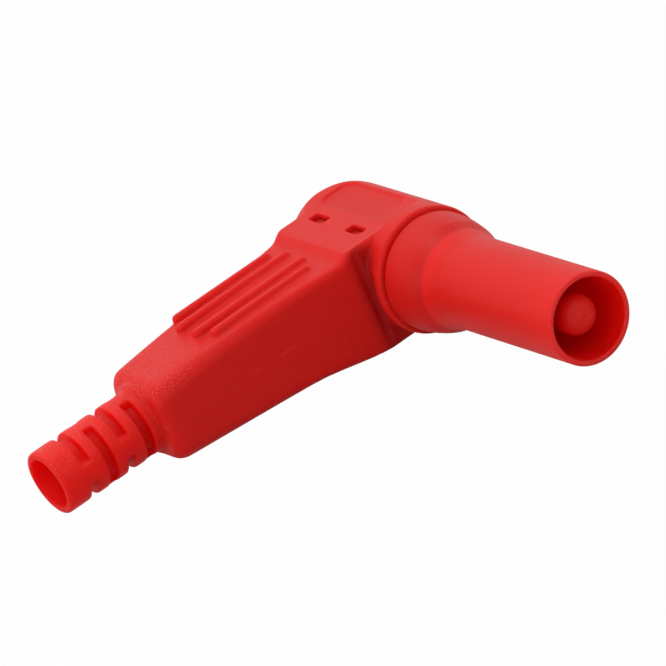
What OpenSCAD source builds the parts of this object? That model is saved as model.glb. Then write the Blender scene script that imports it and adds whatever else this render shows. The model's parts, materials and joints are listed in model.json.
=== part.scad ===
// Right-angle 4 mm test plug with a fixed insulating sleeve round its contact pin.
// The plug axis is X and the mouth faces +X. The cable leaves along -Y. The plug lies on its side, Z up.
// The origin is on the plug axis, at the root of the straight sleeve, where a socket's rim stops.
// Distances called "along the grip" start at the plug axis and run towards the cable.

/* [Sleeve] */
// Outer diameter of the straight sleeve
sleeve_d = 9; // [8.6:0.02:9.4]
// Bore of the sleeve round the contact pin
sleeve_bore_d = 7.86; // [7.4:0.02:8.2]
// Length of the straight sleeve, from its root to the mouth
sleeve_len = 18.76; // [16:0.02:21]
// Rounding of the mouth's edges
lip_r = 0.25; // [0.1:0.05:0.4]
// How far the open well runs in behind the sleeve's root
well_back = 1.7; // [1:0.1:2.4]

/* [Collar] */
// Length of the hollow flare behind the sleeve
flare_len = 2.62; // [2.2:0.02:3.2]
// Diameter at the back of the flare
flare_d = 9.8; // [9.6:0.02:10.1]
// Length of the slope from the flare to the collar
slope_len = 1.18; // [0.8:0.02:1.6]
// Diameter of the collar at its front edge
collar_d = 10.65; // [10.4:0.05:11]
// Diameter of the collar where it meets the head
collar_back_d = 11.58; // [11.3:0.02:12]
// Length of the collar
collar_len = 3.89; // [3:0.01:5]
// Width of the open seam between the head and the collar
seam_w = 0.35; // [0.2:0.05:0.5]
// Diameter at the bottom of that seam
seam_d = 10.7; // [10.2:0.05:11]
// Rounding of the collar's back edge
collar_edge_r = 0.25; // [0.1:0.05:0.4]

/* [Spigot in the head] */
// Diameter of the spigot that sits in the head
spigot_d = 9.6; // [9.2:0.05:9.7]
// Length of the spigot
spigot_len = 13.8; // [13.4:0.1:14]
// Radial gap between pieces that are pushed together
fit_gap = 0.05; // [0.02:0.01:0.1]

/* [Contact pin] */
// Diameter of the contact pin
pin_d = 4; // [3.8:0.05:4.2]
// Diameter of the solder terminal at the pin's back end
terminal_d = 5.2; // [4.6:0.1:5.6]
// Length of the solder terminal
terminal_len = 7.4; // [6:0.1:7.8]
// Diameter of the cross hole that takes the wire
wire_hole_d = 2.2; // [1.8:0.1:2.6]
// Diameter of the recess that carries the spring cage
recess_d = 2.9; // [2.6:0.05:3.2]
// Length of that recess
recess_len = 10; // [8:0.1:11]
// Length of the full-size land in front of the recess
land_len = 1.2; // [0.8:0.1:2]

/* [Spring cage] */
// Sheet thickness of the spring cage
spring_t = 0.15; // [0.1:0.01:0.2]
// Diameter over the bowed leaves
spring_d = 4.3; // [4.1:0.05:4.6]
// Length of each end band
spring_band = 1; // [0.8:0.1:1.4]
// Number of leaves
leaf_count = 8; // [6:1:10]
// Width of the slit between two leaves
slit_w = 0.35; // [0.2:0.05:0.45]

/* [Tip cap] */
// Diameter of the insulating tip cap
cap_d = 3.95; // [3.7:0.05:4]
// Length of the cap's rounded nose
cap_nose = 1.4; // [1:0.1:2]
// Straight length of the cap behind its nose
cap_straight = 3.5; // [2.5:0.1:4.5]
// How far the cap's end lies inside the mouth
cap_inset = 0.9; // [0.5:0.1:1.5]
// Diameter of the cap's stem in the pin
stem_d = 1.8; // [1.4:0.1:2]
// Length of the cap's stem
stem_len = 2.5; // [2:0.1:3.5]

/* [Head] */
// Diameter of the round head
head_d = 12.42; // [12:0.02:12.9]
// Thickness of the head across its two flats
head_flats = 10.82; // [10.7:0.02:11.2]
// Front face of the head, measured from the cable axis
head_front = 9.21; // [8.9:0.01:10]
// Centre of the domed back end, measured from the cable axis
dome_back = 4.9; // [4.4:0.1:5.8]
// Full-round rim between the flats and the front face
rim_len = 1.86; // [1.4:0.02:2.2]
// Hollow radius that leads from a flat up to the rim
flat_blend_r = 1.52; // [1:0.02:2]
// Rounding of the head's front edge
head_edge_r = 0.42; // [0.2:0.02:0.6]
// Thickness of the lip that stands out above the grip's root
lip_len = 0.95; // [0.8:0.05:1.3]
// Radius of the straight hollow behind that lip
cove_r = 0.7; // [0.5:0.02:0.8]
// Place of the hollow's centre along the grip
cove_c = 6.13; // [6.05:0.01:6.3]

/* [Latch windows] */
// Window size along the plug axis
window_w = 2.45; // [1.8:0.05:2.8]
// Window size along the grip
window_h = 1.1; // [0.9:0.05:1.3]
// Distance between the two windows
window_pitch = 6.5; // [6:0.1:6.6]
// Middle of the two windows, measured from the cable axis
window_mid = 0.17; // [0:0.01:0.3]
// Place of the windows along the grip
window_c = 3.13; // [2.9:0.01:3.3]
// How far a latch lug stands below the flat
lug_drop = 0.45; // [0.3:0.05:0.9]
// Gap between a lug and its window, all round
lug_gap = 0.12; // [0.08:0.02:0.2]

/* [Label field] */
// Length of the sunk label field on the upper flat
field_len = 11.2; // [9:0.1:11.6]
// Width of the field
field_w = 4; // [3:0.1:4.2]
// Corner rounding of the field
field_r = 1.5; // [0.5:0.1:1.8]
// Depth of the field
field_depth = 0.2; // [0.1:0.02:0.26]
// Front end of the field, measured from the cable axis
field_front = 4.8; // [4.4:0.1:5]
// Far edge of the field, measured from the plug axis
field_top = 2.8; // [2.4:0.05:2.9]

/* [Grip] */
// Length from the plug axis to the end face of the grip
grip_len = 29.83; // [28:0.01:33]
// Half width at the root, on the side of the plug
root_in = 7.05; // [6.7:0.01:7.2]
// Half width at the root, on the back
root_out = 6.08; // [5.9:0.02:6.4]
// Half width that the root narrows to
waist_w = 5.58; // [5.3:0.02:5.7]
// Half width at the cable end
end_w = 4.86; // [4.6:0.02:5.1]
// End of the head's flats along the grip
flat_end = 6; // [5.9:0.05:6.4]
// Length of the step from the upper flat down to the ribbed face
step_len = 1.86; // [1.2:0.02:2.4]
// End of the long fall from the lower flat
under_end = 14.4; // [12:0.2:17]
// Half thickness of the grip behind the step
waist_t = 4.83; // [4.7:0.01:5]
// Height of the upper face over the axis at the cable end
end_top = 4.06; // [3.8:0.02:4.2]
// Depth of the lower face under the axis at the cable end
end_under = 4.36; // [4.1:0.02:4.5]
// Corner rounding at the root
root_corner_r = 0.68; // [0.4:0.02:1]
// Corner rounding at the cable end
end_corner_r = 1.94; // [1.5:0.02:2.5]
// Rounding of the cable end's edge
end_round_r = 1.6; // [1.1:0.05:1.8]
// How much deeper that rounding is at the top and back than below
end_lean = 0.3; // [0:0.05:0.4]
// How quickly the root's extra width on the plug's side fades
root_sweep = 2.4; // [1.6:0.1:3]

/* [Ribs] */
// Radius of a rib's round crest
rib_r = 0.5; // [0.4:0.02:0.6]
// Height of the crests over the axis
rib_top = 5.3; // [5.15:0.01:5.36]
// Start of the inner ribs along the grip
rib_start = 8.2; // [7.6:0.1:9]
// End of the inner ribs along the grip
rib_end = 22.1; // [20:0.1:23]
// How much an outer rib is shorter at each end
rib_short = 0.95; // [0:0.05:1.5]
// Middle of the four ribs, measured from the cable axis
rib_mid = -0.2; // [-0.3:0.02:0.1]
// Distance from the ribs' middle to an inner rib
rib_inner = 1.46; // [1.3:0.02:1.6]
// Distance from the ribs' middle to an outer rib
rib_outer = 3.54; // [3.4:0.02:3.7]

/* [Strain relief] */
// Outer diameter of the slotted tube
relief_d = 6.68; // [6.4:0.02:6.9]
// Length of the slotted tube past the grip
relief_len = 11.37; // [10.8:0.01:12.6]
// Diameter of the cable bore
cable_d = 4.2; // [4:0.05:4.6]
// Diameter of the bore at its flared mouth
mouth_d = 5.32; // [5:0.02:5.6]
// Length of the flared mouth
mouth_len = 2.2; // [1:0.1:2.4]
// Inner end of the cable bore along the grip
cable_stop = 8.4; // [7.8:0.1:10]
// Diameter of the narrower way for the wire, from there to the pin
wire_way_d = 3.6; // [3:0.1:3.8]
// Width of a slot
slot_w = 1.1; // [0.8:0.05:1.2]
// Distance from one slot to the next
slot_pitch = 2.25; // [2:0.01:2.4]
// Centre of the first slot, measured from the grip's end face
slot_first = 1.48; // [1.3:0.02:1.7]
// Number of slots
slot_count = 4; // [2:1:4]
// Depth of a slot, which leaves a thin skin round the cable bore
slot_depth = 0.78; // [0.5:0.02:0.9]
// Width of the two webs that are left at each slot
web_w = 2; // [1.5:0.1:3]
// Rounding of the tube's end
relief_edge_r = 0.3; // [0.2:0.05:0.35]
// Hollow fillet between the tube and the grip
neck_r = 0.42; // [0.3:0.02:0.5]

/* [Hidden] */
$fn = 96;
eps = 0.01;
arc_steps = 6;
trim_over = 0.21;
end_turn = 80;
red = [0.82, 0.1, 0.09];
sleeve_red = [0.85, 0.15, 0.13];
nickel = [0.78, 0.78, 0.76];
spring_brass = [0.83, 0.7, 0.42];

// Places along the plug axis
head_front_x = -(collar_len + slope_len + flare_len);
cable_x = head_front_x - head_front;
dome_x = cable_x - dome_back;
spigot_back_x = head_front_x - spigot_len;
well_floor_x = -well_back;
cap_tip_x = sleeve_len - cap_inset;
pin_front_x = cap_tip_x - cap_nose - cap_straight;
recess_front_x = pin_front_x - land_len;
recess_back_x = recess_front_x - recess_len;
terminal_back_x = cable_x - terminal_len / 2;
terminal_front_x = cable_x + terminal_len / 2;

// Radii
sleeve_r = sleeve_d / 2;
sleeve_bore_r = sleeve_bore_d / 2;
sleeve_lip_r = min(lip_r, (sleeve_r - sleeve_bore_r) / 2);
spigot_r = spigot_d / 2;
head_bore_r = spigot_r + fit_gap;
pin_r = pin_d / 2;
terminal_r = terminal_d / 2;
recess_r = recess_d / 2;
cap_r = cap_d / 2;
stem_r = stem_d / 2;
head_r = head_d / 2;
flat_z = head_flats / 2;
relief_r = relief_d / 2;
cable_r = cable_d / 2;
wire_way_r = wire_way_d / 2;
relief_end = grip_len + relief_len;
shoulder = grip_len - end_round_r;
step_end = flat_end + step_len;
// The grip starts a little above the flats, which then trim it level
root_t = flat_z + trim_over;

// Points of an arc about a centre, from one angle to another
function arc(centre, r, from, to, steps = arc_steps) =
    [for (i = [0 : steps]) let (a = from + (to - from) * i / steps) centre + r * [cos(a), sin(a)]];
function smooth(u) = let (k = min(max(u, 0), 1)) k * k * (3 - 2 * k);
function blend(a, b, at, from, to) = a + (b - a) * smooth((at - from) / (to - from));
function ramp(a, b, at, from, to) = a + (b - a) * min(max((at - from) / (to - from), 0), 1);

// Revolves a profile of [radius, place] round the plug axis
module revolve_plug() {
    rotate([0, 90, 0]) rotate_extrude() children();
}

// Revolves a profile of [radius, place along the grip] round the cable axis
module revolve_cable() {
    translate([cable_x, 0, 0]) rotate([90, 0, 0]) rotate_extrude() children();
}

// Half sizes and corner rounding of the grip at a place along it
function side_w(c) = ramp(waist_w, end_w, c, flat_end, shoulder);
function half_in(c) = side_w(c) + (root_in - waist_w) * pow(ramp(1, 0, c, flat_end, shoulder), root_sweep);
function half_out(c) = side_w(c) + (root_out - waist_w) * blend(1, 0, c, flat_end, step_end + step_len);
function bowed(end_t, c) = waist_t + (end_t - waist_t) * pow(ramp(0, 1, c, step_end, shoulder), 2);
function half_top(c) = blend(root_t, bowed(end_top, c), c, flat_end, step_end);
function half_under(c) = blend(root_t, bowed(end_under, c), c, flat_end, under_end);
function corner_r(c) = ramp(root_corner_r, end_corner_r, c, step_end, shoulder);

// One rounded cross-section of the grip, drawn in by an inset where its end is rounded over
function grip_section(c, inset) =
    let (r = max(corner_r(c) - inset / 2, root_corner_r),
         deep = inset * (1 + end_lean),
         shallow = inset * (1 - end_lean),
         x1 = half_in(c) - shallow - r,
         x0 = r + deep - half_out(c),
         z1 = half_top(c) - deep - r,
         z0 = r + shallow - half_under(c),
         corners = [[x1, z1, 0], [x0, z1, 90], [x0, z0, 180], [x1, z0, 270]])
    [for (k = corners) each arc([k[0], k[1]], r, k[2], k[2] + 90)];

// Places and insets of the cross-sections: close together where the grip changes quickly
grip_stations = concat(
    [[0, 0]],
    [for (i = [0 : arc_steps]) [flat_end + step_len * i / arc_steps, 0]],
    [for (i = [1 : 2 * arc_steps]) [step_end + (shoulder - step_end) * i / (2 * arc_steps), 0]],
    [for (i = [1 : arc_steps]) let (a = end_turn * i / arc_steps)
        [shoulder + end_round_r * sin(a) / sin(end_turn), end_round_r * (1 - cos(a))]]);

// The grip as a loft through its cross-sections
module grip_loft() {
    rings = [for (k = grip_stations) grip_section(min(k[0], shoulder), k[1])];
    n = len(rings[0]);
    last = len(rings) - 1;
    points = [for (i = [0 : last]) for (p = rings[i]) [cable_x + p[0], -grip_stations[i][0], p[1]]];
    walls = [for (i = [0 : last - 1]) for (j = [0 : n - 1]) let (k = (j + 1) % n)
        [i * n + j, (i + 1) * n + j, (i + 1) * n + k, i * n + k]];
    back = [for (j = [0 : n - 1]) j];
    front = [for (j = [n - 1 : -1 : 0]) last * n + j];
    polyhedron(points, concat(walls, [back, front]));
}

// One raised rib of the upper face, with a round crest and round ends
module rib(from, to) {
    axis_z = rib_top - rib_r;
    length = to - from - 2 * rib_r;
    translate([0, rib_r - to, 0]) {
        for (y = [0, length])
            translate([0, y, 0]) {
                translate([0, 0, axis_z]) sphere(rib_r);
                cylinder(r = rib_r, h = axis_z);
            }
        translate([0, 0, axis_z]) rotate([-90, 0, 0]) cylinder(r = rib_r, h = length);
        translate([-rib_r, 0, 0]) cube([2 * rib_r, length, axis_z]);
    }
}

// The four ribs: the outer two are shorter at both ends
module ribs() {
    for (side = [-1, 1]) {
        translate([cable_x + rib_mid + side * rib_inner, 0, 0]) rib(rib_start, rib_end);
        translate([cable_x + rib_mid + side * rib_outer, 0, 0])
            rib(rib_start + rib_short, rib_end - rib_short);
    }
}

// The round head: a cylinder with a domed back and a rounded front edge
module head_solid() {
    revolve_plug()
        polygon(concat(
            arc([0, dome_x], head_r, -90, 0, 3 * arc_steps),
            arc([head_r - head_edge_r, head_front_x - head_edge_r], head_edge_r, 0, 90),
            [[0, head_front_x]]));
}

// The cavity in the head: the spigot's bore, closed by a dome
module head_cavity() {
    revolve_plug()
        polygon(concat(
            arc([0, dome_x], head_bore_r, -90, 0, 2 * arc_steps),
            [[head_bore_r, head_front_x + eps], [0, head_front_x + eps]]));
}

// What is trimmed off to leave one flat, with the hollow rise to the rim
module flat_trim() {
    back = dome_x - head_d;
    rise = head_front_x - rim_len - flat_blend_r;
    top = flat_z + head_r;
    rotate([90, 0, 0])
        linear_extrude(2 * head_d, center = true)
            polygon(concat(
                [[back, top], [back, flat_z]],
                arc([rise, flat_z + flat_blend_r], flat_blend_r, -90, 0),
                [[rise + flat_blend_r, top]]));
}

// The straight hollow behind the head's lip, at the grip's root
module lip_cove() {
    translate([head_front_x - lip_len - cove_r, -cove_c, 0]) cylinder(r = cove_r, h = head_d, center = true);
}

// Boxes at the two windows of the upper flat, drawn in all round by a gap
module window_boxes(from, to, gap) {
    for (side = [-1, 1])
        translate([cable_x + window_mid + side * window_pitch / 2, -window_c, (from + to) / 2])
            cube([window_w - 2 * gap, window_h - 2 * gap, to - from], center = true);
}

// The sunk label field of the upper flat
module label_field() {
    translate([cable_x + field_front - field_r, field_top - field_r, flat_z - field_depth])
        linear_extrude(head_d)
            hull()
                for (x = [0, 2 * field_r - field_len], y = [0, 2 * field_r - field_w])
                    translate([x, y]) circle(field_r);
}

// The slotted tube before its bore, with the fillet to the grip
module relief_tube() {
    root = shoulder - end_round_r;
    edge = relief_end - relief_edge_r;
    revolve_cable()
        polygon(concat(
            [[0, root], [relief_r + neck_r, root]],
            arc([relief_r + neck_r, grip_len + neck_r], neck_r, 270, 180),
            arc([relief_r - relief_edge_r, edge], relief_edge_r, 0, 90),
            [[0, relief_end]]));
}

// Blind slots that make the tube bend: each leaves two webs, turned a quarter from one slot to the next
module relief_slots() {
    for (i = [0 : slot_count - 1])
        translate([cable_x, -(grip_len + slot_first + i * slot_pitch), 0])
            rotate([0, 90 * i, 0])
                difference() {
                    rotate([90, 0, 0]) cylinder(r = relief_d, h = slot_w, center = true);
                    rotate([90, 0, 0]) cylinder(r = relief_r - slot_depth, h = 2 * slot_w, center = true);
                    cube([web_w, 2 * slot_w, 3 * relief_d], center = true);
                }
}

// The cable's bore, then the narrower way for its wire into the head
module cable_way() {
    revolve_cable()
        polygon([[0, 0], [wire_way_r, 0], [wire_way_r, cable_stop], [cable_r, cable_stop],
                 [cable_r, relief_end - mouth_len], [mouth_d / 2, relief_end],
                 [mouth_d / 2, relief_end + eps], [0, relief_end + eps]]);
}

// One soft moulding: head, ribbed grip and slotted strain relief
module grip_housing() {
    color(red)
        difference() {
            union() {
                head_solid();
                grip_loft();
                ribs();
                relief_tube();
            }
            flat_trim();
            mirror([0, 0, 1]) flat_trim();
            lip_cove();
            window_boxes(0, flat_z + eps, 0);
            label_field();
            head_cavity();
            cable_way();
            relief_slots();
        }
}

// The stiff insert: spigot with latch lugs, collar, flare and the sleeve round the pin
module shroud_sleeve() {
    collar_back_r = collar_back_d / 2;
    collar_back_x = head_front_x + seam_w;
    flare_r = flare_d / 2;
    // The lugs are rooted a little below the spigot's surface
    lug_root_r = spigot_r - 2 * fit_gap;
    // Radius of the flare's hollow curve, from its rise and its length
    flare_rise = flare_r - sleeve_r;
    hollow_r = (flare_len * flare_len + flare_rise * flare_rise) / (2 * flare_rise);
    hollow_turn = asin(flare_len / hollow_r);
    outside = concat(
        [[terminal_r + fit_gap, spigot_back_x], [spigot_r, spigot_back_x], [spigot_r, head_front_x],
         [seam_d / 2, head_front_x], [seam_d / 2, collar_back_x]],
        arc([collar_back_r - collar_edge_r, collar_back_x + collar_edge_r], collar_edge_r, -90, 0),
        [[collar_d / 2, head_front_x + collar_len]],
        arc([sleeve_r + hollow_r, 0], hollow_r, 180 + hollow_turn, 180),
        arc([sleeve_r - sleeve_lip_r, sleeve_len - sleeve_lip_r], sleeve_lip_r, 0, 90));
    inside = concat(
        arc([sleeve_bore_r + sleeve_lip_r, sleeve_len - sleeve_lip_r], sleeve_lip_r, 90, 180),
        [[sleeve_bore_r, well_floor_x], [pin_r + fit_gap, well_floor_x],
         [pin_r + fit_gap, terminal_front_x], [terminal_r + fit_gap, terminal_front_x]]);
    color(sleeve_red)
        difference() {
            union() {
                revolve_plug() polygon(concat(outside, inside));
                difference() {
                    window_boxes(terminal_r, flat_z - lug_drop, lug_gap);
                    revolve_plug() polygon([[0, dome_x], [lug_root_r, dome_x],
                        [lug_root_r, head_front_x], [0, head_front_x]]);
                }
            }
            revolve_cable() polygon([[0, 0], [wire_way_r, 0], [wire_way_r, head_r], [0, head_r]]);
        }
}

// The turned contact pin, with its solder terminal cross-drilled for the wire
module plug_pin() {
    color(nickel)
        difference() {
            revolve_plug()
                polygon([[0, terminal_back_x], [terminal_r, terminal_back_x],
                         [terminal_r, terminal_front_x], [pin_r, terminal_front_x],
                         [pin_r, recess_back_x], [recess_r, recess_back_x],
                         [recess_r, recess_front_x], [pin_r, recess_front_x],
                         [pin_r, pin_front_x], [stem_r + fit_gap, pin_front_x],
                         [stem_r + fit_gap, pin_front_x - stem_len - fit_gap],
                         [0, pin_front_x - stem_len - fit_gap]]);
            revolve_cable()
                polygon([[0, -wire_hole_d / 2], [wire_hole_d / 2, -wire_hole_d / 2],
                         [wire_hole_d / 2, terminal_d], [0, terminal_d]]);
        }
}

// The spring cage: two bands joined by leaves that bow outwards
module contact_spring() {
    back = recess_back_x + fit_gap;
    front = recess_front_x - fit_gap;
    band_r = recess_r + fit_gap;
    bow = spring_d / 2 - band_r - spring_t;
    half = (front - back) / 2 - spring_band;
    bow_r = (half * half + bow * bow) / (2 * bow);
    turn = asin(half / bow_r);
    centre = [band_r + bow - bow_r, (front + back) / 2];
    color(spring_brass)
        difference() {
            revolve_plug()
                polygon(concat(
                    [[band_r, front], [band_r, front - spring_band]],
                    arc(centre, bow_r, turn, -turn, 2 * arc_steps),
                    [[band_r, back], [band_r + spring_t, back]],
                    arc(centre, bow_r + spring_t, -turn, turn, 2 * arc_steps),
                    [[band_r + spring_t, front]]));
            for (i = [0 : leaf_count - 1])
                rotate([360 * i / leaf_count, 0, 0])
                    translate([(front + back) / 2, 0, spring_d / 2])
                        cube([2 * half, slit_w, spring_d], center = true);
        }
}

// The moulded tip cap: a round nose on a stem that is pressed into the pin
module tip_cap() {
    color(red)
        revolve_plug()
            polygon(concat(
                [[0, pin_front_x - stem_len], [stem_r, pin_front_x - stem_len],
                 [stem_r, pin_front_x], [cap_r, pin_front_x]],
                [for (p = arc([0, 0], 1, 0, 90, 2 * arc_steps))
                    [cap_r * p[0], cap_tip_x - cap_nose + cap_nose * p[1]]]));
}

grip_housing();
shroud_sleeve();
plug_pin();
contact_spring();
tip_cap();
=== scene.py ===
# Right-angled test plug with an insulating sleeve, dressed over its CAD frame and lit on plain white.
import json
import math

import bpy
from mathutils import Matrix, Vector

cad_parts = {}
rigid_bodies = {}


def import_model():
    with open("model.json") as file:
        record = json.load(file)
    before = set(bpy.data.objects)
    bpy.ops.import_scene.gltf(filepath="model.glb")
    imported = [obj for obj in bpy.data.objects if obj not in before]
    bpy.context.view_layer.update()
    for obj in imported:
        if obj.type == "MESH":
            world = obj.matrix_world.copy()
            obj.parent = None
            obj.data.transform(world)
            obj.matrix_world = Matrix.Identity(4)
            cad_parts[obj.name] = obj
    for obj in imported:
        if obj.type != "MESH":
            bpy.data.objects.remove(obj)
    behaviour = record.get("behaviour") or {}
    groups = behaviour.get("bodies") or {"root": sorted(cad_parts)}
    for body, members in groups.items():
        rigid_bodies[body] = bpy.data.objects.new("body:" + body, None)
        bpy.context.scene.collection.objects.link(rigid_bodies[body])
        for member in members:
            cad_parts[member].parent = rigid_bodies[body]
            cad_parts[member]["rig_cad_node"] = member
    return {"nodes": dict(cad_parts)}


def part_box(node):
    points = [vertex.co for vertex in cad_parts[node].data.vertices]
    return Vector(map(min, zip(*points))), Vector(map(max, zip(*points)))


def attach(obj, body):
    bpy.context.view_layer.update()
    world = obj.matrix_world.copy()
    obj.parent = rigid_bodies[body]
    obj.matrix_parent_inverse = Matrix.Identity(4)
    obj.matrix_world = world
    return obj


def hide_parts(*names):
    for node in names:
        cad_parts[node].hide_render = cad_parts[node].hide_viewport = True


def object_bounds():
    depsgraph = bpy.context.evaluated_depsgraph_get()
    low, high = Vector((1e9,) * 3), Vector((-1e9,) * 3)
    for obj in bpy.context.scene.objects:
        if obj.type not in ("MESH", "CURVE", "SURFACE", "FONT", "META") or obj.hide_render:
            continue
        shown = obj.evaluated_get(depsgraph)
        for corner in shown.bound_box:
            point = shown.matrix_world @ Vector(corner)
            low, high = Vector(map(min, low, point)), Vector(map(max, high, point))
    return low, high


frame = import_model()
cad_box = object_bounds()


# Contact pin. Turned from brass and nickel plated, with a solder terminal at its back end.
# It is pushed into the sleeve from behind, so little of it shows round the tip in the mouth.
MM = 0.001
merge_distance = 0.002 * MM


def smooth_copy(node, name, crease_deg):
    """A merged, smooth-shaded copy of a CAD node, which it stands for."""
    solid = frame["nodes"][node]
    bpy.ops.object.select_all(action="DESELECT")
    bpy.context.view_layer.objects.active = solid
    solid.select_set(True)
    bpy.ops.object.duplicate()
    piece = bpy.context.object
    piece.name = name
    piece.data.name = name
    del piece["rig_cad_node"]
    bpy.ops.object.parent_clear(type="CLEAR_KEEP_TRANSFORM")
    bpy.ops.object.mode_set(mode="EDIT")
    bpy.ops.mesh.select_all(action="SELECT")
    bpy.ops.mesh.customdata_custom_splitnormals_clear()
    bpy.ops.mesh.remove_doubles(threshold=merge_distance)
    bpy.ops.object.mode_set(mode="OBJECT")
    bpy.ops.object.shade_smooth_by_angle(angle=math.radians(crease_deg))
    piece.data.materials.clear()
    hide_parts(node)
    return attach(piece, "root")


def work_lines():
    """The fine lines that turning or rolling leaves in metal, drawn out by a stretch along each axis."""
    group = bpy.data.node_groups.new("work lines", "ShaderNodeTree")
    group.interface.new_socket("Stretch", in_out="INPUT", socket_type="NodeSocketVector")
    group.interface.new_socket("Lines", in_out="OUTPUT", socket_type="NodeSocketFloat")
    entry = group.nodes.new("NodeGroupInput")
    leave = group.nodes.new("NodeGroupOutput")
    place = group.nodes.new("ShaderNodeTexCoord")
    drawn = group.nodes.new("ShaderNodeMapping")
    lines = group.nodes.new("ShaderNodeTexNoise")
    lines.inputs["Scale"].default_value = 6000
    lines.inputs["Detail"].default_value = 3
    group.links.new(entry.outputs["Stretch"], drawn.inputs["Scale"])
    group.links.new(place.outputs["Object"], drawn.inputs["Vector"])
    group.links.new(drawn.outputs["Vector"], lines.inputs["Vector"])
    group.links.new(lines.outputs["Fac"], leave.inputs["Lines"])
    return group


metal_lines = work_lines()


def worked_metal(name, dull, bright, roughness, stretch):
    """A bare metal whose tone, gloss and surface follow its work lines."""
    gloss_swing = 0.1
    line_depth = 0.004 * MM
    material = bpy.data.materials.new(name)
    material.use_nodes = True
    tree = material.node_tree
    shader = tree.nodes["Principled BSDF"]
    shader.inputs["Metallic"].default_value = 1
    worked = tree.nodes.new("ShaderNodeGroup")
    worked.node_tree = metal_lines
    worked.inputs["Stretch"].default_value = stretch
    tone = tree.nodes.new("ShaderNodeMix")
    tone.data_type = "RGBA"
    tone.inputs["A"].default_value = (*dull, 1)
    tone.inputs["B"].default_value = (*bright, 1)
    gloss = tree.nodes.new("ShaderNodeMapRange")
    gloss.inputs["To Min"].default_value = roughness + gloss_swing
    gloss.inputs["To Max"].default_value = roughness - gloss_swing
    bump = tree.nodes.new("ShaderNodeBump")
    bump.inputs["Distance"].default_value = line_depth
    tree.links.new(worked.outputs["Lines"], tone.inputs["Factor"])
    tree.links.new(worked.outputs["Lines"], gloss.inputs["Value"])
    tree.links.new(worked.outputs["Lines"], bump.inputs["Height"])
    tree.links.new(tone.outputs["Result"], shader.inputs["Base Color"])
    tree.links.new(gloss.outputs["Result"], shader.inputs["Roughness"])
    tree.links.new(bump.outputs["Normal"], shader.inputs["Normal"])
    return material


pin = smooth_copy("plug_pin", "contact_pin", 25)
nickel_plate = worked_metal(
    "nickel plate",
    dull=(0.57, 0.55, 0.51),
    bright=(0.66, 0.64, 0.6),
    roughness=0.28,
    stretch=(1, 0.05, 0.05),
)
pin.data.materials.append(nickel_plate)


# Spring cage. Thin copper alloy sheet, slit into leaves and rolled round the pin's recess.
# The leaves bow outwards and press on the wall of the socket.
spring = smooth_copy("contact_spring", "spring_cage", 25)
spring_alloy = worked_metal(
    "spring alloy",
    dull=(0.67, 0.46, 0.21),
    bright=(0.77, 0.54, 0.27),
    roughness=0.3,
    stretch=(0.08, 1, 1),
)
spring.data.materials.append(spring_alloy)


# Tip cap. A small red moulding with a round nose, pressed into the end of the pin by its stem.
# It keeps a finger off the live metal. Its skin is smooth, with the mark of the gate on the nose.
def combine(piece, tool, operation):
    """Joins a shape that was just added to a piece, or cuts it out, and takes the shape away."""
    bpy.ops.object.transform_apply()
    step = piece.modifiers.new("combine", "BOOLEAN")
    step.operation = operation
    step.object = tool
    bpy.context.view_layer.objects.active = piece
    bpy.ops.object.modifier_apply(modifier=step.name)
    bpy.data.objects.remove(tool)


tip = smooth_copy("tip_cap", "tip_cap_nose", 40)
tip_end_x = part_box("tip_cap")[1].x
gate_r = 0.3 * MM
gate_x = tip_end_x + gate_r / 2
bpy.ops.object.select_all(action="DESELECT")
bpy.ops.mesh.primitive_uv_sphere_add(segments=32, ring_count=16, radius=gate_r, location=(gate_x, 0, 0))
combine(tip, bpy.context.object, "DIFFERENCE")


def moulded_grain():
    """Fine grain of a moulded skin: its height, the peaks of it, and a slow mottle."""
    mottle_share = 0.12
    group = bpy.data.node_groups.new("moulded grain", "ShaderNodeTree")
    group.interface.new_socket("Grains per Metre", in_out="INPUT", socket_type="NodeSocketFloat")
    for output in ("Height", "Peaks", "Mottle"):
        group.interface.new_socket(output, in_out="OUTPUT", socket_type="NodeSocketFloat")
    entry = group.nodes.new("NodeGroupInput")
    leave = group.nodes.new("NodeGroupOutput")
    place = group.nodes.new("ShaderNodeTexCoord")
    fine = group.nodes.new("ShaderNodeTexNoise")
    fine.inputs["Detail"].default_value = 1.5
    fine.inputs["Roughness"].default_value = 0.6
    peaks = group.nodes.new("ShaderNodeMapRange")
    peaks.inputs["From Min"].default_value = 0.52
    peaks.inputs["From Max"].default_value = 0.7
    slow = group.nodes.new("ShaderNodeTexNoise")
    slow.inputs["Detail"].default_value = 3
    slower = group.nodes.new("ShaderNodeMath")
    slower.operation = "MULTIPLY"
    slower.inputs[1].default_value = mottle_share
    group.links.new(place.outputs["Object"], fine.inputs["Vector"])
    group.links.new(place.outputs["Object"], slow.inputs["Vector"])
    group.links.new(entry.outputs["Grains per Metre"], fine.inputs["Scale"])
    group.links.new(entry.outputs["Grains per Metre"], slower.inputs[0])
    group.links.new(slower.outputs[0], slow.inputs["Scale"])
    group.links.new(fine.outputs["Fac"], leave.inputs["Height"])
    group.links.new(fine.outputs["Fac"], peaks.inputs["Value"])
    group.links.new(peaks.outputs["Result"], leave.inputs["Peaks"])
    group.links.new(slow.outputs["Fac"], leave.inputs["Mottle"])
    return group


grain = moulded_grain()


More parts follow.
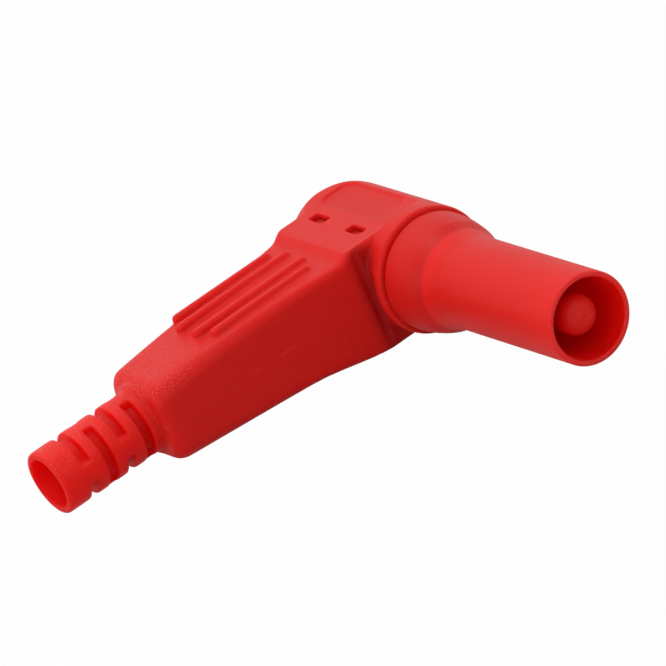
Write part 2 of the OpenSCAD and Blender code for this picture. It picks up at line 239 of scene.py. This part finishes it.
def red_moulding(name, deep, pale, roughness, grains_per_metre, grain_depth, glow, glow_depth):
    """A red moulded plastic: mottled between two close reds, finely grained, with light that seeps in."""
    gloss_swing = 0.08
    material = bpy.data.materials.new(name)
    material.use_nodes = True
    tree = material.node_tree
    shader = tree.nodes["Principled BSDF"]
    shader.inputs["Specular IOR Level"].default_value = 0.14
    shader.inputs["Subsurface Weight"].default_value = glow
    shader.inputs["Subsurface Radius"].default_value = (1, 0.12, 0.08)
    shader.inputs["Subsurface Scale"].default_value = glow_depth
    skin = tree.nodes.new("ShaderNodeGroup")
    skin.name = "moulded skin"
    skin.node_tree = grain
    skin.inputs["Grains per Metre"].default_value = grains_per_metre
    tone = tree.nodes.new("ShaderNodeMix")
    tone.data_type = "RGBA"
    tone.inputs["A"].default_value = (*deep, 1)
    tone.inputs["B"].default_value = (*pale, 1)
    gloss = tree.nodes.new("ShaderNodeMapRange")
    gloss.inputs["To Min"].default_value = roughness - gloss_swing
    gloss.inputs["To Max"].default_value = roughness + gloss_swing
    bump = tree.nodes.new("ShaderNodeBump")
    bump.inputs["Distance"].default_value = grain_depth
    tree.links.new(skin.outputs["Mottle"], tone.inputs["Factor"])
    tree.links.new(skin.outputs["Mottle"], gloss.inputs["Value"])
    tree.links.new(skin.outputs["Height"], bump.inputs["Height"])
    tree.links.new(tone.outputs["Result"], shader.inputs["Base Color"])
    tree.links.new(gloss.outputs["Result"], shader.inputs["Roughness"])
    tree.links.new(bump.outputs["Normal"], shader.inputs["Normal"])
    return material


def ramp(tree, coordinate, axis, start, end, top=1):
    """A mask that goes from 0 to its top value between two values of one coordinate."""
    place = tree.nodes.new("ShaderNodeTexCoord")
    parts = tree.nodes.new("ShaderNodeSeparateXYZ")
    mask = tree.nodes.new("ShaderNodeMapRange")
    mask.inputs["From Min"].default_value = start
    mask.inputs["From Max"].default_value = end
    mask.inputs["To Max"].default_value = top
    tree.links.new(place.outputs[coordinate], parts.inputs["Vector"])
    tree.links.new(parts.outputs[axis], mask.inputs["Value"])
    return mask.outputs["Result"]


def tint(tree, mask, colour):
    """Lays a second colour over a moulding's red where the mask is 1."""
    over = tree.nodes.new("ShaderNodeMix")
    over.data_type = "RGBA"
    over.inputs["B"].default_value = (*colour, 1)
    base = tree.nodes["Principled BSDF"].inputs["Base Color"]
    tree.links.new(mask, over.inputs["Factor"])
    tree.links.new(base.links[0].from_socket, over.inputs["A"])
    tree.links.new(over.outputs["Result"], base)


tip_red = red_moulding(
    "tip red",
    deep=(0.83, 0.011, 0.008),
    pale=(0.87, 0.013, 0.009),
    roughness=0.42,
    grains_per_metre=4000,
    grain_depth=0.004 * MM,
    glow=1,
    glow_depth=0.8 * MM,
)
shaded_x = 15.4
nose_x = 16.9
nose_highlight_end_x = 17.8
shaded_rear = ramp(tip_red.node_tree, "Object", "X", nose_x * MM, shaded_x * MM, top=0.8)
tint(tip_red.node_tree, shaded_rear, (0.55, 0.008, 0.006))
# Painted highlight: a faint paler patch on the nose of the tip.
nose_painted_highlight = ramp(tip_red.node_tree, "Object", "X", nose_x * MM, nose_highlight_end_x * MM, top=0.2)
tint(tip_red.node_tree, nose_painted_highlight, (0.9, 0.06, 0.05))
tip.data.materials.append(tip_red)


# Insulating sleeve. A stiff red moulding of one turned profile: spigot, collar, slope, flare and the
# straight sleeve round the pin. Two latch lugs on the spigot snap below the windows of the grip, and a
# hole in its wall lets the wire in to the terminal.
sleeve_low, sleeve_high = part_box("shroud_sleeve")
sleeve_r = 4.5
sleeve_bore_r = 3.93
lip_r = 0.25
lip_steps = 10
collar_back_r = 5.79
collar_front_r = 5.36
flare_r = 4.88
flare_foot_r = 4.54
seam_r = 5.35
spigot_r = 4.8
pin_hole_r = 2.05
terminal_hole_r = 2.65
spigot_back_x = sleeve_low.x / MM
terminal_front_x = -13.2
head_front_x = -7.69
collar_back_x = -7.34
collar_front_x = -3.75
flare_back_x = -2.62
well_floor_x = -1.7
flare_foot_x = -0.5
mouth_x = sleeve_high.x / MM
collar_crown = [(-6.2, 5.74), (-5.4, 5.67), (-4.6, 5.54)]
flare_runout = [(0, 4.507), (0.4, sleeve_r)]


def arc_stations(centre_x, centre_r, radius, start_deg, end_deg, steps):
    """Points [place, radius] on an arc of the profile, angles measured from the outward direction."""
    turns = [math.radians(start_deg + (end_deg - start_deg) * i / steps) for i in range(steps + 1)]
    return [(centre_x + radius * math.sin(a), centre_r + radius * math.cos(a)) for a in turns]


profile = [(spigot_back_x, terminal_hole_r), (spigot_back_x, spigot_r), (head_front_x, spigot_r)]
profile += [(head_front_x, seam_r), (collar_back_x, seam_r), (collar_back_x, collar_back_r)]
profile += collar_crown + [(collar_front_x, collar_front_r)]
profile += [(flare_back_x, flare_r), (flare_foot_x, flare_foot_r)] + flare_runout
profile += arc_stations(mouth_x - lip_r, sleeve_r - lip_r, lip_r, 0, 90, lip_steps)
profile += arc_stations(mouth_x - lip_r, sleeve_bore_r + lip_r, lip_r, 90, 180, lip_steps)
profile += [(well_floor_x, sleeve_bore_r), (well_floor_x, pin_hole_r)]
profile += [(terminal_front_x, pin_hole_r), (terminal_front_x, terminal_hole_r)]

bpy.ops.object.select_all(action="DESELECT")
bpy.ops.mesh.primitive_circle_add(
    vertices=192,
    radius=profile[0][1] * MM,
    location=(profile[0][0] * MM, 0, 0),
    rotation=(0, math.pi / 2, 0),
)
sleeve = bpy.context.object
sleeve.name = "insulating_sleeve"
sleeve.data.name = "insulating_sleeve"
bpy.ops.object.transform_apply()
bpy.ops.object.mode_set(mode="EDIT")
bpy.ops.mesh.select_all(action="SELECT")
for (x0, r0), (x1, r1) in zip(profile, profile[1:] + profile[:1]):
    bpy.ops.mesh.extrude_region_move(TRANSFORM_OT_translate={"value": ((x1 - x0) * MM, 0, 0)})
    bpy.ops.transform.resize(value=(1, r1 / r0, r1 / r0), center_override=(x1 * MM, 0, 0))
bpy.ops.mesh.select_all(action="SELECT")
bpy.ops.mesh.remove_doubles(threshold=merge_distance)
bpy.ops.mesh.normals_make_consistent(inside=False)
bpy.ops.object.mode_set(mode="OBJECT")

cable_x = -16.9
lug_size = Vector((2.2, 0.86, 1.4))
lug_top_z = 4.86
lug_y = -3.13
lug_mid_x = cable_x + 0.17
lug_pitch = 6.5
for side in (-1, 1):
    lug_place = Vector((lug_mid_x + side * lug_pitch / 2, lug_y, lug_top_z - lug_size.z / 2))
    bpy.ops.object.select_all(action="DESELECT")
    bpy.ops.mesh.primitive_cube_add(size=1, location=lug_place * MM)
    lug = bpy.context.object
    lug.scale = lug_size * MM
    combine(sleeve, lug, "UNION")

corners = sleeve.modifiers.new("corners", "BEVEL")
corners.width = 0.1 * MM
corners.segments = 3
corners.limit_method = "ANGLE"
corners.angle_limit = math.radians(11)
bpy.ops.object.select_all(action="DESELECT")
sleeve.select_set(True)
bpy.context.view_layer.objects.active = sleeve
bpy.ops.object.modifier_apply(modifier="corners")

wire_hole_r = 1.8
wire_hole_len = 6.2
bpy.ops.object.select_all(action="DESELECT")
bpy.ops.mesh.primitive_cylinder_add(
    vertices=64,
    radius=wire_hole_r * MM,
    depth=wire_hole_len * MM,
    location=Vector((cable_x, -wire_hole_len / 2, 0)) * MM,
    rotation=(math.pi / 2, 0, 0),
)
combine(sleeve, bpy.context.object, "DIFFERENCE")
bpy.ops.object.select_all(action="DESELECT")
sleeve.select_set(True)
bpy.ops.object.shade_smooth_by_angle(angle=math.radians(30))


def closeness(tree, centre, weights, far, near, top=1):
    """A mask that goes from 0 to its top value as the weighted distance from a centre gets small."""
    place = tree.nodes.new("ShaderNodeTexCoord")
    offset = tree.nodes.new("ShaderNodeVectorMath")
    offset.operation = "SUBTRACT"
    offset.inputs[1].default_value = Vector(centre) * MM
    weighted = tree.nodes.new("ShaderNodeVectorMath")
    weighted.operation = "MULTIPLY"
    weighted.inputs[1].default_value = weights
    distance = tree.nodes.new("ShaderNodeVectorMath")
    distance.operation = "LENGTH"
    mask = tree.nodes.new("ShaderNodeMapRange")
    mask.inputs["From Min"].default_value = far * MM
    mask.inputs["From Max"].default_value = near * MM
    mask.inputs["To Max"].default_value = top
    tree.links.new(place.outputs["Object"], offset.inputs[0])
    tree.links.new(offset.outputs["Vector"], weighted.inputs[0])
    tree.links.new(weighted.outputs["Vector"], distance.inputs[0])
    tree.links.new(distance.outputs["Value"], mask.inputs["Value"])
    return mask.outputs["Result"]


sleeve_red = red_moulding(
    "sleeve red",
    deep=(0.83, 0.012, 0.009),
    pale=(0.87, 0.014, 0.01),
    roughness=0.45,
    grains_per_metre=3500,
    grain_depth=0.004 * MM,
    glow=1,
    glow_depth=1.6 * MM,
)
thin_x = -2.1
thick_x = -2.7
# Painted shade: the sleeve is darker behind the flare, on the collar and the spigot.
thick_wall_painted_shade = ramp(sleeve_red.node_tree, "Object", "X", thin_x * MM, thick_x * MM)
tint(sleeve_red.node_tree, thick_wall_painted_shade, (0.7, 0.011, 0.008))
# Painted light: a clearer, brighter red inside the bore, for light that seeps and bounces in there.
bore_painted_glow = closeness(sleeve_red.node_tree, (0, 0, 0), (0, 1, 1), far=4.05, near=3.95)
tint(sleeve_red.node_tree, bore_painted_glow, (1, 0.006, 0.004))
# Painted highlight: a paler rim on the lip of the mouth.
lip_start_x = 18.55
lip_highlight_full_x = 18.72
lip_painted_highlight = ramp(sleeve_red.node_tree, "Object", "X", lip_start_x * MM, lip_highlight_full_x * MM, top=0.4)
tint(sleeve_red.node_tree, lip_painted_highlight, (0.92, 0.08, 0.07))
sleeve.data.materials.append(sleeve_red)
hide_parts("shroud_sleeve")
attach(sleeve, "root")


# Grip. One soft red moulding: head with flats and latch windows, ribbed arm and slotted strain relief.
# Its edges are softened by the mould, its skin has a fine matt grain, and a parting line runs along it.
moulding = smooth_copy("grip_housing", "moulded_grip", 180)
one_skin = moulding.modifiers.new("one skin", "REMESH")
one_skin.mode = "VOXEL"
one_skin.voxel_size = 0.125 * MM
bpy.ops.object.select_all(action="DESELECT")
moulding.select_set(True)
bpy.context.view_layer.objects.active = moulding
bpy.ops.object.modifier_apply(modifier="one skin")

arm_root_y = -8.5
arm_end_y = -29.2
rib_foot_z = 4
arm = moulding.vertex_groups.new(name="arm")
arm_places = [
    v.index
    for v in moulding.data.vertices
    if arm_end_y * MM < v.co.y < arm_root_y * MM and v.co.z < rib_foot_z * MM
]
arm.add(arm_places, 1, "REPLACE")
soft_edges = moulding.modifiers.new("soft edges", "SMOOTH")
soft_edges.factor = 0.5
soft_edges.iterations = 4
soft_arm = moulding.modifiers.new("soft arm", "SMOOTH")
soft_arm.factor = 0.5
soft_arm.iterations = 6
soft_arm.vertex_group = "arm"
fewer_faces = moulding.modifiers.new("fewer faces", "DECIMATE")
fewer_faces.ratio = 0.36
for modifier in ("soft edges", "soft arm", "fewer faces"):
    bpy.ops.object.modifier_apply(modifier=modifier)
bpy.ops.object.shade_smooth()

grip_red = red_moulding(
    "grip red",
    deep=(0.715, 0.01, 0.0075),
    pale=(0.765, 0.013, 0.0095),
    roughness=0.42,
    grains_per_metre=6500,
    grain_depth=0.05 * MM,
    glow=0.6,
    glow_depth=1.5 * MM,
)
# The relief is the grip's plastic; its red is painted brighter for the light that glows through its thin
# walls.
relief_glow_red = red_moulding(
    "relief red with painted glow",
    deep=(0.92, 0.009, 0.006),
    pale=(0.95, 0.012, 0.008),
    roughness=0.42,
    grains_per_metre=6500,
    grain_depth=0.06 * MM,
    glow=1,
    glow_depth=2.5 * MM,
)


def product(tree, first, second):
    """Two masks multiplied."""
    both = tree.nodes.new("ShaderNodeMath")
    both.operation = "MULTIPLY"
    tree.links.new(first, both.inputs[0])
    tree.links.new(second, both.inputs[1])
    return both.outputs[0]


tree = grip_red.node_tree
line = closeness(tree, (0, 0, 0), (0, 0, 1), far=0.12, near=0.03, top=0.3)
place = tree.nodes.new("ShaderNodeTexCoord")
breaks = tree.nodes.new("ShaderNodeTexNoise")
breaks.inputs["Scale"].default_value = 420
breaks.inputs["Detail"].default_value = 2
unbroken = tree.nodes.new("ShaderNodeMapRange")
unbroken.inputs["From Min"].default_value = 0.5
unbroken.inputs["From Max"].default_value = 0.62
tree.links.new(place.outputs["Object"], breaks.inputs["Vector"])
tree.links.new(breaks.outputs["Fac"], unbroken.inputs["Value"])
parting_line = product(tree, line, unbroken.outputs["Result"])
tint(tree, parting_line, (0.86, 0.09, 0.075))
# Painted shade: the groove between the arm and the lip of the head is darkened.
groove_shade_centre = (-9.5, -5.8, 0)
groove_painted_shade = closeness(tree, groove_shade_centre, (1, 0.58, 0), far=1.1, near=0.45, top=0.8)
tint(tree, groove_painted_shade, (0.4, 0.005, 0.004))


def grain_glints():
    """Painted glints: paler specks on the peaks of the grain, on upper faces towards the cable, where the
    light catches them.
    """
    glint_start_y = -17
    glint_full_y = -27
    group = bpy.data.node_groups.new("painted grain glints", "ShaderNodeTree")
    group.interface.new_socket("Peaks", in_out="INPUT", socket_type="NodeSocketFloat")
    group.interface.new_socket("Glints", in_out="OUTPUT", socket_type="NodeSocketFloat")
    entry = group.nodes.new("NodeGroupInput")
    leave = group.nodes.new("NodeGroupOutput")
    towards_cable = ramp(group, "Object", "Y", glint_start_y * MM, glint_full_y * MM)
    upper_face = ramp(group, "Normal", "Z", 0.15, 0.55, top=0.5)
    glint_mask = product(group, product(group, towards_cable, upper_face), entry.outputs["Peaks"])
    group.links.new(glint_mask, leave.inputs["Glints"])
    return group


glint_group = grain_glints()
# Paints the glints of the grain into the red of the grip and the relief.
for tree in (grip_red.node_tree, relief_glow_red.node_tree):
    glint_node = tree.nodes.new("ShaderNodeGroup")
    glint_node.node_tree = glint_group
    tree.links.new(tree.nodes["moulded skin"].outputs["Peaks"], glint_node.inputs["Peaks"])
    tint(tree, glint_node.outputs["Glints"], (0.88, 0.15, 0.13))

relief_start_y = -29.9
neck_end_y = -34
# The painted glow of the relief fades out towards the grip's end, where its red is darkened.
neck_glow_fade = ramp(relief_glow_red.node_tree, "Object", "Y", neck_end_y * MM, relief_start_y * MM, top=0.8)
tint(relief_glow_red.node_tree, neck_glow_fade, (0.75, 0.011, 0.008))
# Painted light: a clearer red inside the relief's bore and slot floors, for light that seeps and bounces
# in there.
hollow_painted_glow = closeness(relief_glow_red.node_tree, (cable_x, 0, 0), (1, 0, 1), far=3.2, near=2.95)
tint(relief_glow_red.node_tree, hollow_painted_glow, (1, 0.002, 0.001))
moulding.data.materials.append(grip_red)
moulding.data.materials.append(relief_glow_red)
for face in moulding.data.polygons:
    face.material_index = int(face.center.y < relief_start_y * MM)


# Floor. A sheet of plain white paper under the plug. The camera sees it as white,
# while it still takes the plug's soft shadow and throws a grey light back up.
bpy.ops.object.select_all(action="DESELECT")
bpy.ops.mesh.primitive_plane_add(size=3, location=(0, 0, cad_box[0].z))
floor = bpy.context.object
floor.name = "floor"
paper = bpy.data.materials.new("white paper")
paper.use_nodes = True
tree = paper.node_tree
shader = tree.nodes["Principled BSDF"]
shader.inputs["Base Color"].default_value = (0.5, 0.5, 0.5, 1)
shader.inputs["Roughness"].default_value = 0.9
shader.inputs["Specular IOR Level"].default_value = 0.1
white = tree.nodes.new("ShaderNodeEmission")
white.inputs["Color"].default_value = (1, 1, 1, 1)
white.inputs["Strength"].default_value = 1


def seen_rays(tree, mirrored):
    """1 for rays from the camera or through glass, and a share of that for rays that come off a gloss."""
    path = tree.nodes.new("ShaderNodeLightPath")
    gloss = tree.nodes.new("ShaderNodeMath")
    gloss.operation = "MULTIPLY"
    gloss.inputs[1].default_value = mirrored
    first = tree.nodes.new("ShaderNodeMath")
    first.operation = "MAXIMUM"
    both = tree.nodes.new("ShaderNodeMath")
    both.operation = "MAXIMUM"
    tree.links.new(path.outputs["Is Camera Ray"], first.inputs[0])
    tree.links.new(path.outputs["Is Transmission Ray"], first.inputs[1])
    tree.links.new(path.outputs["Is Glossy Ray"], gloss.inputs[0])
    tree.links.new(first.outputs[0], both.inputs[0])
    tree.links.new(gloss.outputs[0], both.inputs[1])
    return both.outputs[0]


white_share = 0.985
share = tree.nodes.new("ShaderNodeMath")
share.operation = "MULTIPLY"
share.inputs[1].default_value = white_share
surface = tree.nodes.new("ShaderNodeMixShader")
tree.links.new(seen_rays(tree, mirrored=0.2), share.inputs[0])
tree.links.new(share.outputs[0], surface.inputs["Fac"])
tree.links.new(shader.outputs["BSDF"], surface.inputs[1])
tree.links.new(white.outputs["Emission"], surface.inputs[2])
tree.links.new(surface.outputs["Shader"], tree.nodes["Material Output"].inputs["Surface"])
floor.data.materials.append(paper)


# Light. A pale room fills in from all sides, a soft box hangs over the plug,
# and a wider one stands low on the cable's side.
scene = bpy.context.scene
world = bpy.data.worlds.new("pale room")
scene.world = world
world.use_nodes = True
tree = world.node_tree
room = tree.nodes["Background"]
room.inputs["Color"].default_value = (1, 1, 1, 1)
room.inputs["Strength"].default_value = 0.65
backdrop = tree.nodes.new("ShaderNodeBackground")
backdrop.inputs["Color"].default_value = (1, 1, 1, 1)
backdrop.inputs["Strength"].default_value = 1
mix = tree.nodes.new("ShaderNodeMixShader")
tree.links.new(seen_rays(tree, mirrored=1), mix.inputs["Fac"])
tree.links.new(room.outputs["Background"], mix.inputs[1])
tree.links.new(backdrop.outputs["Background"], mix.inputs[2])
tree.links.new(mix.outputs["Shader"], tree.nodes["World Output"].inputs["Surface"])

centre = (Vector(cad_box[0]) + Vector(cad_box[1])) / 2


def light_box(name, offset, size, energy):
    """A square lamp, turned to the middle of the plug."""
    bpy.ops.object.light_add(type="AREA", location=centre + Vector(offset))
    lamp = bpy.context.object
    lamp.name = name
    lamp.data.shape = "SQUARE"
    lamp.data.size = size
    lamp.data.energy = energy
    lamp.rotation_euler = (centre - lamp.location).to_track_quat("-Z", "Y").to_euler()


light_box("soft_box", offset=(-0.15, 0.02, 0.45), size=0.2, energy=0.66)
light_box("side_box", offset=(0.05, -0.42, 0.16), size=0.3, energy=0.4)


# Camera. A long lens from the mouth's side, looking down on the plug and turned a little on its axis.
# Its place and its turn were fitted to the view that the plug is shown in.
scene.view_settings.view_transform = "Standard"
camera_data = bpy.data.cameras.new("camera")
camera = bpy.data.objects.new("camera", camera_data)
scene.collection.objects.link(camera)
scene.camera = camera
camera_data.sensor_width = 36
camera_data.lens = 429.7
camera_data.clip_end = 10
camera_place = Vector((0.61268, -0.29242, 0.31069))
right = Vector((0.5301, 0.7618, -0.3724)).normalized()
back = Vector((0.8294, -0.3745, 0.4145)).normalized()
up = back.cross(right).normalized()
turn = Matrix((right, up, back)).transposed().to_4x4()
camera.matrix_world = Matrix.Translation(camera_place) @ turn
